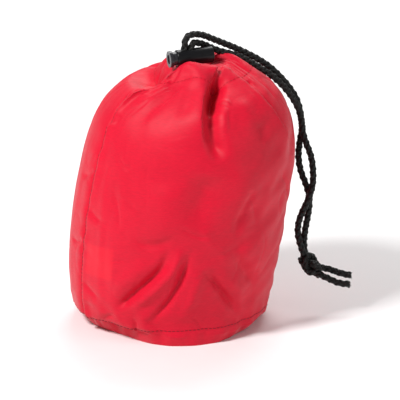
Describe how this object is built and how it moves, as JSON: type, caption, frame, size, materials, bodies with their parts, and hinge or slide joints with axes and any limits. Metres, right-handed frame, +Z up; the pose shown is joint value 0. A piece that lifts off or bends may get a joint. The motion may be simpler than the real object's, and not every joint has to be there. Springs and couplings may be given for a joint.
{
  "type": "fire blanket in drawstring sack",
  "caption": "Soft round drawstring sack, leaning a little, holding a rolled glass-cloth fire blanket, closed by a doubled drawcord with a spring barrel lock and a knotted hanging end.",
  "frame": {"origin": "centre of the flat round patch of the sack's base that it stands on", "axes": "+Z up, +X to the sack's right, the side it leans to and its cord hangs on, -Y its front"},
  "size_m": [0.2049, 0.1546, 0.2171],
  "materials": {
    "sack_cloth": "coated nylon, satin",
    "seam_tape": "overlocked edge",
    "thread": "polyester sewing thread",
    "label": "blank woven label",
    "drawcord": "braided polypropylene",
    "lock_plastic": "moulded acetal, satin gloss",
    "spring_steel": "drawn wire",
    "glass_cloth": "woven glass fibre",
    "hem_tape": "sewn edge tape",
    "pull_tape": "narrow webbing"
  },
  "bodies": {
    "sack": {"bag_wall": "sack_cloth", "bag_base": "sack_cloth", "cord_channel_hem": "sack_cloth", "base_seam_binding": "seam_tape", "side_seam_tape": "seam_tape", "base_seam_thread": "thread", "side_seam_thread": "thread", "hem_thread": "thread", "exit_bartacks": "thread", "care_label": "label", "drawcord_hem_run": "drawcord", "drawcord_inner_over_shoulder": "drawcord", "drawcord_outer_over_shoulder": "drawcord", "lock_barrel": "lock_plastic", "lock_spring": "spring_steel", "blanket_cloth": "glass_cloth", "blanket_hem_tape": "hem_tape", "pull_tape_left": "pull_tape", "pull_tape_right": "pull_tape"},
    "plunger": {"lock_plunger": "lock_plastic"},
    "cord_end": {"drawcord_inner_hanging": "drawcord", "drawcord_outer_hanging": "drawcord", "drawcord_knot": "drawcord", "drawcord_upper_tail": "drawcord", "drawcord_lower_tail": "drawcord"}
  },
  "joints": [
    {"name": "plunger_press", "type": "slide", "parent": "sack", "child": "plunger", "axis": [0.9522, 0.3034, 0.037], "range_m": [0, 0.003], "stiffness_N_per_m": 1500, "springref_m": -0.003, "deforming": ["lock_spring"]},
    {"name": "cord_swing", "type": "hinge", "parent": "sack", "child": "cord_end", "pos_m": [0.0962, 0.0124, 0.1372], "axis": [0, -1, 0], "range_deg": [0, 30]}
  ]
}
